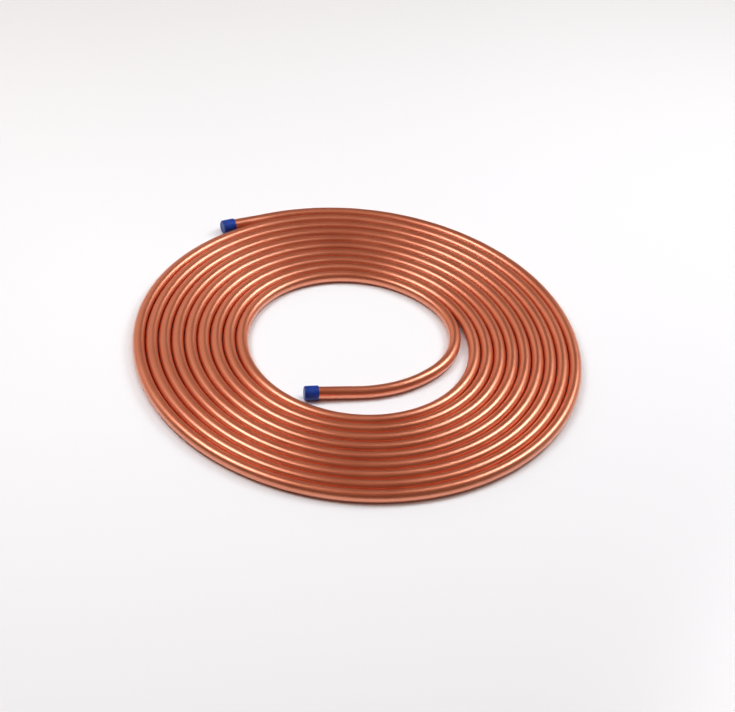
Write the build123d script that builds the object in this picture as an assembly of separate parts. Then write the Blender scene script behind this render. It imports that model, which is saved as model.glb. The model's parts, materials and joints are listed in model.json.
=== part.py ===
from build123d import *
import math
import os

# Flat single-layer coil of soft copper tube, lying on the floor, with a push-on cap on each end.
# Millimetres, +Z up. The origin is the middle of the outline, on the floor.
# Seen from above, the tube starts at the outer cap, behind and to the left, and runs clockwise
# and inwards. Its inner end leaves the coil at the right, crosses the eye and ends in its own cap.

# Tube section
TUBE_OD = 9.525
TUBE_WALL = 0.813

# Coil: its half turns are centred on two points half a pitch apart, so the spacing is even all round
TURN_GAP = 0.3
EYE_RADIUS = 80.6
WHOLE_TURNS = 9
OUTER_END_ANGLE = 121.0

# Inner end: it peels off the innermost turn in a bend tighter than that turn, sweeps round a little
# wider than it, and runs straight across the eye until its cap is a gap away from the turn ahead
PEEL_ANGLE = 42.5
BEND_TIGHTER_BY = 23.4
BEND_TURN = 78.0
SWEEP_WIDER_BY = 9.6
SWEEP_TURN = 41.5
INNER_END_GAP = 4.0

# Both ends rise a little along their straight runs, because a cap is thicker than the tube
OUTER_END_REACH = 34.0
END_RISE_RADIUS = 150.0
CAP_FLOOR_GAP = 0.15

# Caps: the wall is thinnest at the closed end and thickens towards the rim
CAP_FIT = 0.1
CAP_WALL = 0.5
CAP_TAPER = 1.5
CAP_END_THICKNESS = 1.2
CAP_GRIP = 9.3
CAP_END_ROUND = 0.9
CAP_RIM_ROUND = 0.25

PITCH = TUBE_OD + TURN_GAP
TUBE_RADIUS = TUBE_OD / 2
TUBE_BORE_RADIUS = TUBE_RADIUS - TUBE_WALL
OUTERMOST_RADIUS = EYE_RADIUS + TUBE_RADIUS + WHOLE_TURNS * PITCH
CAP_BORE_RADIUS = TUBE_RADIUS + CAP_FIT
CAP_HEIGHT = CAP_GRIP + CAP_END_THICKNESS
CAP_END_RADIUS = CAP_BORE_RADIUS + CAP_WALL
CAP_RIM_RADIUS = CAP_END_RADIUS + CAP_HEIGHT * math.tan(math.radians(CAP_TAPER))


def coil_turns():
    """The coil's arcs, each tangent to the last, from the outer end to where the inner end peels off."""
    start = Vector(OUTERMOST_RADIUS, 0, TUBE_RADIUS).rotate(Axis.Z, OUTER_END_ANGLE)
    heading = Vector(0, -1, 0).rotate(Axis.Z, OUTER_END_ANGLE)
    half_turns = [180.0] * (2 * WHOLE_TURNS - 1)
    arcs = []
    for step, turn in enumerate([OUTER_END_ANGLE, *half_turns, 180.0 - PEEL_ANGLE]):
        arc = JernArc(start, heading, OUTERMOST_RADIUS - step * PITCH / 2, -turn)
        arcs.append(arc)
        start = arc @ 1
        heading = arc % 1
    return arcs


def inner_bends(turn):
    """The bend off the innermost turn and the wider sweep that follows it."""
    bend = JernArc(turn @ 1, turn % 1, turn.radius - BEND_TIGHTER_BY, -BEND_TURN)
    swept = JernArc(bend @ 1, bend % 1, turn.radius + SWEEP_WIDER_BY, -SWEEP_TURN)
    return [bend, swept]


def reach_to_turn(start, heading, turn):
    """How far a straight end can reach before its cap is a gap away from the turn that it points at."""
    ring_radius = turn.radius - TUBE_RADIUS - INNER_END_GAP - CAP_END_RADIUS
    from_centre = start - turn.arc_center
    along = from_centre.dot(heading)
    return math.sqrt(along**2 - from_centre.dot(from_centre) + ring_radius**2) - along - CAP_END_THICKNESS


def rising_end(start, heading, reach):
    """A straight end of a given reach that bends up just enough for its cap to clear the floor."""
    rim_reach = reach - CAP_GRIP
    rim_rise = CAP_RIM_RADIUS + CAP_FLOOR_GAP - TUBE_RADIUS
    depth = 2 * END_RISE_RADIUS - rim_rise
    angle = 2 * math.atan2(rim_reach - math.sqrt(rim_reach**2 - rim_rise * depth), depth)
    upright = Plane(origin=start, x_dir=heading, z_dir=heading.cross(Vector(0, 0, 1)))
    rise = upright * CenterArc((0, END_RISE_RADIUS), END_RISE_RADIUS, -90, math.degrees(angle))
    run = (reach - END_RISE_RADIUS * math.sin(angle)) / math.cos(angle)
    straight = Line(rise @ 1, (rise @ 1) + (rise % 1) * run)
    return [rise, straight]


def make_tube(centreline):
    """One length of round tube, bored from end to end."""
    end_face = Plane(origin=centreline @ 0, z_dir=centreline % 0)
    section = Circle(TUBE_RADIUS) - Circle(TUBE_BORE_RADIUS)
    return sweep(end_face * section, path=centreline)


def make_cap(tube_end):
    """A tapered moulded cup with rounded edges, its closed end seated on the tube's end face."""
    on_base = (Align.CENTER, Align.CENTER, Align.MIN)
    cup = Cone(CAP_RIM_RADIUS, CAP_END_RADIUS, CAP_HEIGHT, align=on_base)
    cup = fillet(cup.edges().sort_by(Axis.Z)[-1], CAP_END_ROUND)
    cup = fillet(cup.edges().sort_by(Axis.Z)[0], CAP_RIM_ROUND)
    cup -= Cylinder(CAP_BORE_RADIUS, CAP_GRIP, align=on_base)
    seat = Plane(origin=tube_end @ 1, z_dir=tube_end % 1)
    return seat * Pos(0, 0, -CAP_GRIP) * cup


turns = coil_turns()
outer_end = rising_end(turns[0] @ 0, -(turns[0] % 0), OUTER_END_REACH)
bends = inner_bends(turns[-1])
inner_reach = reach_to_turn(bends[-1] @ 1, bends[-1] % 1, turns[-2])
inner_end = rising_end(bends[-1] @ 1, bends[-1] % 1, inner_reach)
centreline = Wire([*reversed(outer_end), *turns, *bends, *inner_end])

parts = {
    "copper_tube": make_tube(centreline),
    "outer_end_cap": make_cap(outer_end[-1]),
    "inner_end_cap": make_cap(inner_end[-1]),
}

# The outline's middle goes to the origin
box = Compound(parts.values()).bounding_box()
middle = Pos(-box.center().X, -box.center().Y, 0)

os.makedirs("parts", exist_ok=True)
for name, shape in parts.items():
    export_step(middle * shape, f"parts/{name}.step")

section_area = math.pi * (TUBE_RADIUS**2 - TUBE_BORE_RADIUS**2)
print(f"tube length {centreline.length:.1f} mm, section x length {section_area * centreline.length:.1f} mm3")
print(f"tube volume {parts['copper_tube'].volume:.1f} mm3, outline {box.size.X:.1f} x {box.size.Y:.1f} mm")
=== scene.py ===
"""Looks of the copper tube coil: the drawn tube, its two push-on caps, floor, light and camera."""

import json
import math

import bmesh
import bpy
from mathutils import Matrix, Vector


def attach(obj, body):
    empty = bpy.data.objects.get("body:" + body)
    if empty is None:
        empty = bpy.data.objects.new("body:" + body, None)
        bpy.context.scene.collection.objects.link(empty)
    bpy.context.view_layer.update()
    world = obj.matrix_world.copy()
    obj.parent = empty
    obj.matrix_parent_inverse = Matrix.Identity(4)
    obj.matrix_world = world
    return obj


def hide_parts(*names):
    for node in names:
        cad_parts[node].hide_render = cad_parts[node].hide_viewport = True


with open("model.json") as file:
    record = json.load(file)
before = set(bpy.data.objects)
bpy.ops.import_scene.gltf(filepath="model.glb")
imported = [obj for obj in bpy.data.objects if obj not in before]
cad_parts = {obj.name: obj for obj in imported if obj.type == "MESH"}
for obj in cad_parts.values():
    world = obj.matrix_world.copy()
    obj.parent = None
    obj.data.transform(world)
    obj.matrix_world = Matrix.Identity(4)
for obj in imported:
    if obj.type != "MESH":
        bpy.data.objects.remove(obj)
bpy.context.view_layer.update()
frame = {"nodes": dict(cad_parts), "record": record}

MM = 0.001
MOUNTS = {mount["name"]: mount for mount in frame["record"]["mounts"]}

# The tube and the coil, from the frame where it says them
TUBE_RADIUS = MOUNTS["outer_tube_end"]["dims"]["r_mm"] * MM
TUBE_WALL = 0.813 * MM
EYE_RADIUS = MOUNTS["coil_eye"]["dims"]["r_mm"] * MM
EYE_CENTRE = Vector(MOUNTS["coil_eye"]["pos_m"])
OUTER_END = Vector(MOUNTS["outer_tube_end"]["pos_m"])
INNER_END = Vector(MOUNTS["inner_tube_end"]["pos_m"])
TURN_GAP = 0.3 * MM
PITCH = 2 * TUBE_RADIUS + TURN_GAP
WHOLE_TURNS = 9
OUTER_END_ANGLE = math.radians(121.0)

# The half turns are centred on two points half a pitch apart, one of them in the middle of the eye
COIL_MIDDLE = Vector((EYE_CENTRE.x + PITCH / 4, EYE_CENTRE.y, 0))

# The free inner end peels off, bends more tightly than the innermost turn, then sweeps a little wider
INNERMOST_RADIUS = EYE_RADIUS + TUBE_RADIUS
PEEL_ANGLE = math.radians(42.5)
BEND_TIGHTER_BY = 23.4 * MM
BEND_TURN = math.radians(78.0)
SWEEP_WIDER_BY = 9.6 * MM
SWEEP_TURN = math.radians(41.5)

# How finely the tube is drawn, and how near to an end its open edges are
PATH_STEP = 3.9 * MM
OUTSIDE_SIDES = 30
BORE_SIDES = 14
NEAR_END = 3 * TUBE_RADIUS

# How far the turns wander inwards, how often, and the length at each end where it fades to nothing
WANDER = 0.24 * MM
WAVES_PER_METRE = 11.0
HELD_END = 90.0 * MM
WANDER_SEED = 4.0

# Copper: how closely the drawn streaks lie round the tube, and how often they change along it
STREAKS_AROUND = 5.0
STREAKS_PER_METRE = 3.0
COPPER_TONES = [
    (0.3, (0.80, 0.285, 0.16, 1)),
    (0.52, (0.86, 0.33, 0.19, 1)),
    (0.72, (0.91, 0.385, 0.23, 1)),
]

# Caps and floor
BLUE_TONES = [
    (0.3, (0.009, 0.043, 0.26, 1)),
    (0.7, (0.016, 0.074, 0.38, 1)),
]
FLOOR_COLOUR = (0.88, 0.895, 0.92, 1)
FLOOR_HALF_WIDTH = 4.0

# Light: a warm room with cool strips in it
ROOM_COLOUR = (1.0, 0.66, 0.53, 1)
COOL_WHITE = (0.93, 0.97, 1.0)
WARM_WHITE = (1.0, 0.82, 0.71)
DEEP_ORANGE = (1.0, 0.24, 0.06)
SKY_WHITE = (0.88, 0.98, 1.0)

# The camera: a long lens, seen from above, with the photo's slight tilt
PHOTO_SIZE = (735, 712)
SENSOR_WIDTH = 36.0
CAMERA_AZIMUTH = math.radians(1.0)
CAMERA_ELEVATION = math.radians(39.12)
CAMERA_DISTANCE = 1.350
CAMERA_ROLL = math.radians(-5.75)
FOCAL_PIXELS = 1740.8
COIL_MIDDLE_PIXEL = (355.0, 347.7)


class Sockets:
    """Wraps one output of a node, so that sums on sockets read as sums."""

    def __init__(self, tree, socket):
        self.tree = tree
        self.socket = socket

    def maths(self, operation, *values):
        made = self.tree.node("ShaderNodeMath", {"operation": operation}, dict(enumerate(values)))
        return made.out()

    def __add__(self, other):
        return self.maths("ADD", self, other)

    def __radd__(self, other):
        return self.maths("ADD", other, self)

    def __sub__(self, other):
        return self.maths("SUBTRACT", self, other)

    def __rsub__(self, other):
        return self.maths("SUBTRACT", other, self)

    def __mul__(self, other):
        return self.maths("MULTIPLY", self, other)

    def __rmul__(self, other):
        return self.maths("MULTIPLY", other, self)

    def __truediv__(self, other):
        return self.maths("DIVIDE", self, other)

    def __rtruediv__(self, other):
        return self.maths("DIVIDE", other, self)

    def clamped(self, low=0.0, high=1.0):
        return self.maths("MINIMUM", self.maths("MAXIMUM", self, low), high)


class Made:
    """A node that has been made, with its outputs by name or number."""

    def __init__(self, tree, node):
        self.tree = tree
        self.node = node

    def out(self, key=0):
        return Sockets(self.tree, self.node.outputs[key])


class NodeTree:
    """Adds nodes to a tree: settings first, then the values or links of its sockets."""

    def __init__(self, tree):
        self.tree = tree

    def node(self, kind, settings=None, inputs=None):
        made = self.tree.nodes.new(kind)
        for name, value in (settings or {}).items():
            if name == "stops":
                self.set_stops(made.color_ramp, value)
            else:
                setattr(made, name, value)
        for key, value in (inputs or {}).items():
            if isinstance(value, Sockets):
                self.tree.links.new(value.socket, made.inputs[key])
            else:
                made.inputs[key].default_value = value
        return Made(self, made)

    @staticmethod
    def set_stops(ramp, stops):
        while len(ramp.elements) < len(stops):
            ramp.elements.new(0.5)
        for element, (position, colour) in zip(ramp.elements, stops):
            element.position = position
            element.color = colour


def link_object(name, data):
    """A new object in the scene that holds the data."""
    holder = bpy.data.objects.new(name, data)
    bpy.context.scene.collection.objects.link(holder)
    return holder


def axes_matrix(x_axis, y_axis, z_axis, place):
    """The matrix of an object at a place, with its axes in the given directions."""
    matrix = Matrix((x_axis, y_axis, z_axis)).transposed().to_4x4()
    matrix.translation = place
    return matrix


def turned(vector, angle):
    return Matrix.Rotation(angle, 3, "Z") @ vector


def new_material(name):
    material = bpy.data.materials.new(name)
    material.use_nodes = True
    material.node_tree.nodes.clear()
    return material, NodeTree(material.node_tree)


def finish_material(tree, looks):
    """A principled shader with the given looks, as the material's surface."""
    shader = tree.node("ShaderNodeBsdfPrincipled", None, looks)
    tree.node("ShaderNodeOutputMaterial", None, {"Surface": shader.out()})


def noise(tree, place, scale, detail):
    made = tree.node("ShaderNodeTexNoise", None, {"Vector": place, "Scale": scale, "Detail": detail})
    return made.out("Fac")


def toned(tree, tones, share):
    return tree.node("ShaderNodeValToRGB", {"stops": tones}, {"Fac": share}).out("Color")


def bumped(tree, height, strength, distance):
    inputs = {"Height": height, "Strength": strength, "Distance": distance}
    return tree.node("ShaderNodeBump", None, inputs).out("Normal")


def copper_material():
    """Drawn soft copper: long faint streaks, blotches of handling and a satin shine."""
    material, tree = new_material("drawn_copper")
    along = tree.node("ShaderNodeAttribute", {"attribute_name": "along"}).out("Fac")
    around = tree.node("ShaderNodeAttribute", {"attribute_name": "around"}).out("Vector")
    place = tree.node("ShaderNodeTexCoord").out("Object")

    sides = tree.node("ShaderNodeSeparateXYZ", None, {"Vector": around})
    drawn = tree.node(
        "ShaderNodeCombineXYZ", None,
        {
            "X": sides.out("X") * STREAKS_AROUND,
            "Y": sides.out("Y") * STREAKS_AROUND,
            "Z": along * STREAKS_PER_METRE,
        },
    ).out()
    streaks = noise(tree, drawn, scale=1.0, detail=1.0)
    blotches = noise(tree, place, scale=38.0, detail=1.0)
    tarnish = noise(tree, place, scale=9.0, detail=2.0)

    tone = (streaks * 0.45 + blotches * 0.3 + tarnish * 0.25).clamped()
    roughness = (0.3 + 0.12 * streaks + 0.1 * blotches).clamped(low=0.2, high=0.5)
    height = streaks * 0.7 + blotches * 0.3
    finish_material(tree, {
        "Base Color": toned(tree, COPPER_TONES, tone),
        "Metallic": 1.0,
        "Roughness": roughness,
        "Coat Weight": 1.0,
        "Coat Roughness": 0.3,
        "Coat IOR": 1.7,
        "Normal": bumped(tree, height, strength=0.015, distance=0.3 * MM),
    })
    return material


def cap_material():
    """Moulded blue polyethylene: a little mottled, with fine scuffs."""
    material, tree = new_material("moulded_blue_plastic")
    place = tree.node("ShaderNodeTexCoord").out("Object")
    mottling = noise(tree, place, scale=240.0, detail=3.0)
    scuffs = noise(tree, place, scale=1400.0, detail=2.0)
    finish_material(tree, {
        "Base Color": toned(tree, BLUE_TONES, mottling),
        "Roughness": (0.28 + scuffs * 0.2).clamped(),
        "IOR": 1.5,
        "Normal": bumped(tree, scuffs, strength=0.15, distance=0.2 * MM),
    })
    return material


def floor_material():
    """A pale, faintly shiny sheet."""
    material, tree = new_material("pale_floor")
    finish_material(tree, {"Base Color": FLOOR_COLOUR, "Roughness": 0.25, "IOR": 1.35})
    return material


def arc_points(start, heading, radius, turn):
    """Points along a clockwise arc after its start, and the heading at its end."""
    centre = start + turned(heading, -math.pi / 2) * radius
    steps = max(2, math.ceil(radius * turn / PATH_STEP))
    points = [centre + turned(start - centre, -turn * step / steps) for step in range(1, steps + 1)]
    return points, turned(heading, -turn)


def straight_points(start, finish):
    """Points along a straight run after its start."""
    steps = max(2, math.ceil((finish - start).length / PATH_STEP))
    return [start.lerp(finish, step / steps) for step in range(1, steps + 1)]


def tube_path():
    """The tube's centreline from the outer end to the inner one."""
    outermost = INNERMOST_RADIUS + WHOLE_TURNS * PITCH
    start = EYE_CENTRE + turned(Vector((outermost, 0, 0)), OUTER_END_ANGLE)
    heading = turned(Vector((0, -1, 0)), OUTER_END_ANGLE)
    turns = [OUTER_END_ANGLE, *[math.pi] * (2 * WHOLE_TURNS - 1), math.pi - PEEL_ANGLE]
    arcs = [(outermost - step * PITCH / 2, turn) for step, turn in enumerate(turns)]
    arcs.append((INNERMOST_RADIUS - BEND_TIGHTER_BY, BEND_TURN))
    arcs.append((INNERMOST_RADIUS + SWEEP_WIDER_BY, SWEEP_TURN))
    points = [OUTER_END, *straight_points(OUTER_END, start)]
    for radius, turn in arcs:
        more, heading = arc_points(points[-1], heading, radius, turn)
        points.extend(more)
    points.extend(straight_points(points[-1], INNER_END))
    return points


def curve_object(name, points):
    curve = bpy.data.curves.new(name, "CURVE")
    curve.dimensions = "3D"
    spline = curve.splines.new("POLY")
    spline.points.add(len(points) - 1)
    for place, point in zip(spline.points, points):
        place.co = (*point, 1)
    return link_object(name, curve)


def add_input(group, name, kind, value):
    group.interface.new_socket(name, in_out="INPUT", socket_type=kind).default_value = value


def direction_from_middle(tree):
    """The direction of each point from the middle that its place is measured from."""
    place = tree.node("GeometryNodeInputPosition").out()
    return tree.node("ShaderNodeVectorMath", {"operation": "NORMALIZE"}, {0: place}).out()


def stored(tree, geometry, kind, name, value):
    """The geometry with a value kept at each of its points, for the material to read."""
    return tree.node(
        "GeometryNodeStoreNamedAttribute", {"data_type": kind, "domain": "POINT"},
        {"Geometry": geometry, "Name": name, "Value": value},
    ).out()


def wandering_curve(tree, given):
    """The centreline, with every turn moved in towards the middle by a slowly changing share."""
    path = given.out("Geometry")
    length = tree.node("GeometryNodeSplineParameter").out("Length")
    total = tree.node("GeometryNodeCurveLength", None, {"Curve": path}).out()
    from_end = length.maths("MINIMUM", length, total - length)
    held = (from_end / given.out("Held end")).clamped()
    wave_place = length * given.out("Waves per metre") + given.out("Seed")
    wave = tree.node(
        "ShaderNodeTexNoise", {"noise_dimensions": "1D"},
        {"W": wave_place, "Scale": 1.0, "Detail": 1.0},
    ).out("Fac")
    inwards = wave.clamped() * held * given.out("Wander") * -1.0
    level = tree.node(
        "ShaderNodeVectorMath", {"operation": "MULTIPLY"},
        {0: direction_from_middle(tree), 1: (1, 1, 0)},
    ).out()
    shift = tree.node("ShaderNodeVectorMath", {"operation": "SCALE"}, {0: level, "Scale": inwards}).out()
    upright = tree.node("GeometryNodeSetCurveNormal", {"mode": "Z_UP"}, {"Curve": path}).out()
    moved = tree.node("GeometryNodeSetPosition", None, {"Geometry": upright, "Offset": shift}).out()
    return stored(tree, moved, "FLOAT", "along", length)


def tube_wall(tree, centreline, radius, sides):
    """One round wall along the centreline, marked with the direction that each point faces."""
    ring = tree.node(
        "GeometryNodeCurvePrimitiveCircle", {"mode": "RADIUS"}, {"Resolution": sides, "Radius": radius},
    ).out("Curve")
    marked = stored(tree, ring, "FLOAT_VECTOR", "around", direction_from_middle(tree))
    return tree.node(
        "GeometryNodeCurveToMesh", None,
        {"Curve": centreline, "Profile Curve": marked, "Fill Caps": False},
    ).out()


def tube_tree(material):
    """Geometry Nodes that draw a tube of two walls along a curve, wound by hand."""
    group = bpy.data.node_groups.new("draw_tube", "GeometryNodeTree")
    group.interface.new_socket("Geometry", in_out="INPUT", socket_type="NodeSocketGeometry")
    add_input(group, "Outside radius", "NodeSocketFloat", TUBE_RADIUS)
    add_input(group, "Bore radius", "NodeSocketFloat", TUBE_RADIUS - TUBE_WALL)
    add_input(group, "Outside sides", "NodeSocketInt", OUTSIDE_SIDES)
    add_input(group, "Bore sides", "NodeSocketInt", BORE_SIDES)
    add_input(group, "Wander", "NodeSocketFloat", WANDER)
    add_input(group, "Waves per metre", "NodeSocketFloat", WAVES_PER_METRE)
    add_input(group, "Held end", "NodeSocketFloat", HELD_END)
    add_input(group, "Seed", "NodeSocketFloat", WANDER_SEED)
    group.interface.new_socket("Geometry", in_out="OUTPUT", socket_type="NodeSocketGeometry")
    tree = NodeTree(group)
    given = tree.node("NodeGroupInput")
    centreline = wandering_curve(tree, given)
    outside = tube_wall(tree, centreline, given.out("Outside radius"), given.out("Outside sides"))
    bore = tube_wall(tree, centreline, given.out("Bore radius"), given.out("Bore sides"))
    inside_out = tree.node("GeometryNodeFlipFaces", None, {"Mesh": bore}).out()
    both = tree.node("GeometryNodeJoinGeometry")
    for wall in (outside, inside_out):
        group.links.new(wall.socket, both.node.inputs[0])
    smooth = tree.node("GeometryNodeSetShadeSmooth", None, {"Geometry": both.out()})
    real = tree.node("GeometryNodeRealizeInstances", None, {"Geometry": smooth.out()})
    dressed = tree.node("GeometryNodeSetMaterial", None, {"Geometry": real.out(), "Material": material})
    tree.node("NodeGroupOutput", None, {"Geometry": dressed.out()})
    return group


def plain_mesh(holder, name):
    """The object's evaluated shape as a new object with a plain mesh, in its place."""
    depsgraph = bpy.context.evaluated_depsgraph_get()
    mesh = bpy.data.meshes.new_from_object(holder.evaluated_get(depsgraph))
    mesh.name = name
    bpy.data.objects.remove(holder)
    return link_object(name, mesh)


def close_ends(piece):
    """Joins the outside wall to the bore with a flat ring at each end of the tube."""
    shape = bmesh.new()
    shape.from_mesh(piece.data)
    open_edges = [edge for edge in shape.edges if edge.is_boundary]
    for end in (OUTER_END, INNER_END):
        rings = [edge for edge in open_edges if (edge.verts[0].co - end).length < NEAR_END]
        bmesh.ops.bridge_loops(shape, edges=rings)
    bmesh.ops.recalc_face_normals(shape, faces=shape.faces)
    for face in shape.faces:
        face.smooth = True
    shape.to_mesh(piece.data)
    shape.free()


def make_tube():
    holder = curve_object("tube_centreline", tube_path())
    modifier = holder.modifiers.new("draw_tube", "NODES")
    modifier.node_group = tube_tree(copper_material())
    piece = plain_mesh(holder, "drawn_tube")
    close_ends(piece)
    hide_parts("copper_tube")
    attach(piece, "root")


def dress_caps():
    plastic = cap_material()
    for name in ("outer_end_cap", "inner_end_cap"):
        cap = frame["nodes"][name]
        cap.data.materials.clear()
        cap.data.materials.append(plastic)


def place_camera():
    """Aims the camera so that the coil's middle falls on its pixel of the photo."""
    level = turned(Vector((0, math.cos(CAMERA_ELEVATION), 0)), CAMERA_AZIMUTH)
    ahead = level - Vector((0, 0, math.sin(CAMERA_ELEVATION)))
    right = turned(Vector((1, 0, 0)), CAMERA_AZIMUTH)
    up = right.cross(ahead)
    rolled_right = right * math.cos(CAMERA_ROLL) - up * math.sin(CAMERA_ROLL)
    rolled_up = right * math.sin(CAMERA_ROLL) + up * math.cos(CAMERA_ROLL)
    across = (PHOTO_SIZE[0] / 2 - COIL_MIDDLE_PIXEL[0]) / FOCAL_PIXELS
    down = (PHOTO_SIZE[1] / 2 - COIL_MIDDLE_PIXEL[1]) / FOCAL_PIXELS
    sight = (ahead + rolled_right * across - rolled_up * down).normalized()
    side = sight.cross(rolled_up).normalized()
    eye = COIL_MIDDLE - ahead * CAMERA_DISTANCE
    lens = bpy.data.cameras.new("camera")
    lens.sensor_width = SENSOR_WIDTH
    lens.lens = FOCAL_PIXELS / PHOTO_SIZE[0] * SENSOR_WIDTH
    camera = link_object("camera", lens)
    camera.matrix_world = axes_matrix(side, side.cross(sight), -sight, eye)
    bpy.context.scene.camera = camera


def make_floor():
    shape = bmesh.new()
    bmesh.ops.create_grid(shape, x_segments=1, y_segments=1, size=FLOOR_HALF_WIDTH)
    mesh = bpy.data.meshes.new("floor")
    shape.to_mesh(mesh)
    shape.free()
    mesh.materials.append(floor_material())
    floor = link_object("floor", mesh)


def towards(azimuth, elevation):
    """The direction of a place in the room, in degrees round from +X and up from the floor."""
    across = math.cos(math.radians(elevation))
    return Vector((
        across * math.cos(math.radians(azimuth)),
        across * math.sin(math.radians(azimuth)),
        math.sin(math.radians(elevation)),
    ))


def soft_box(name, one_end, other_end, distance, width, glow, tint):
    """A soft box that faces the coil and reaches from one azimuth and elevation to another."""
    one_way = towards(*one_end)
    other_way = towards(*other_end)
    middle = (one_way + other_way).normalized()
    long_way = (one_way - other_way).normalized()
    length = 2 * distance * math.tan(one_way.angle(other_way) / 2)
    light = bpy.data.lights.new(name, "AREA")
    light.shape = "RECTANGLE"
    light.size = length
    light.size_y = width
    # A larger box takes more power for the same glow of its surface
    light.energy = glow * length * width * math.pi
    light.color = tint
    holder = link_object(name, light)
    holder.matrix_world = axes_matrix(long_way, middle.cross(long_way), middle, middle * distance)
    return holder


def light_room():
    """Fills the room with a faint warm light."""
    world = bpy.data.worlds.new("soft_room")
    world.use_nodes = True
    world.node_tree.nodes.clear()
    tree = NodeTree(world.node_tree)
    back = tree.node("ShaderNodeBackground", None, {"Color": ROOM_COLOUR, "Strength": 0.165})
    tree.node("ShaderNodeOutputWorld", None, {"Surface": back.out()})
    bpy.context.scene.world = world


def place_soft_boxes():
    """Two bright strips, the walls and cards that the turns mirror, and a fill for the floor."""
    soft_box("right_box", (24, 59), (37, 37), distance=1.15, width=0.4, glow=6.6, tint=COOL_WHITE)
    soft_box("left_box", (203, 67), (184, 47), distance=1.15, width=0.38, glow=6.6, tint=COOL_WHITE)
    soft_box("back_left_wall", (108, 20), (180, 20), distance=2.6, width=2.1, glow=0.4, tint=WARM_WHITE)
    soft_box("back_right_wall", (20, 14), (84, 14), distance=2.6, width=1.6, glow=0.24, tint=WARM_WHITE)
    soft_box("near_left_card", (124, 33), (98, 38), distance=0.8, width=0.2, glow=0.52, tint=WARM_WHITE)
    soft_box("warm_front_card", (215, 66), (325, 66), distance=2.0, width=2.6, glow=0.095, tint=DEEP_ORANGE)
    fill = soft_box("floor_fill", (180, 60), (0, 60), distance=2.0, width=2.0, glow=1.3, tint=SKY_WHITE)
    fill.visible_glossy = False


make_tube()
dress_caps()
place_camera()
make_floor()
light_room()
place_soft_boxes()
bpy.context.scene.view_settings.view_transform = "Standard"
bpy.context.scene.view_settings.look = "Medium High Contrast"
